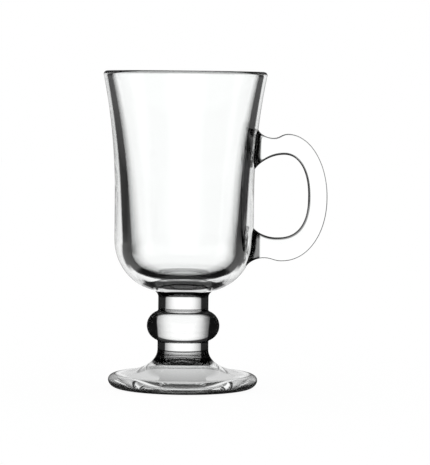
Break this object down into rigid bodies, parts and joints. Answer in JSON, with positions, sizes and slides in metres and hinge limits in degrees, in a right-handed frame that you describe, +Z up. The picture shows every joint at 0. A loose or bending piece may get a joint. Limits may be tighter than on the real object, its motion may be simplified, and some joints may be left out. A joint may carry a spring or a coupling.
{
  "type": "irish coffee glass mug",
  "caption": "Clear pressed-glass footed mug with a straight bowl that flares to the rim, a stem with a rounded knop, a broad round foot and a flat-sided strap handle with a thumb rest",
  "frame": {"origin": "on the mug's axis, in the plane that the foot's ring rests on", "axes": "+Z up along the mug's axis, +X towards the handle, +Y square to both"},
  "size_m": [0.1073, 0.0782, 0.1515],
  "materials": {
    "bowl_glass": "clear colourless soda-lime glass, fire-polished",
    "stem_glass": "clear colourless soda-lime glass, fire-polished, solid",
    "foot_glass": "clear colourless pressed glass, fire-polished",
    "handle_glass": "clear colourless pressed glass, flat sides with rounded edges"
  },
  "bodies": {
    "root": {"bowl": "bowl_glass", "neck": "stem_glass", "knop": "stem_glass", "foot": "foot_glass", "handle": "handle_glass"}
  },
  "joints": []
}
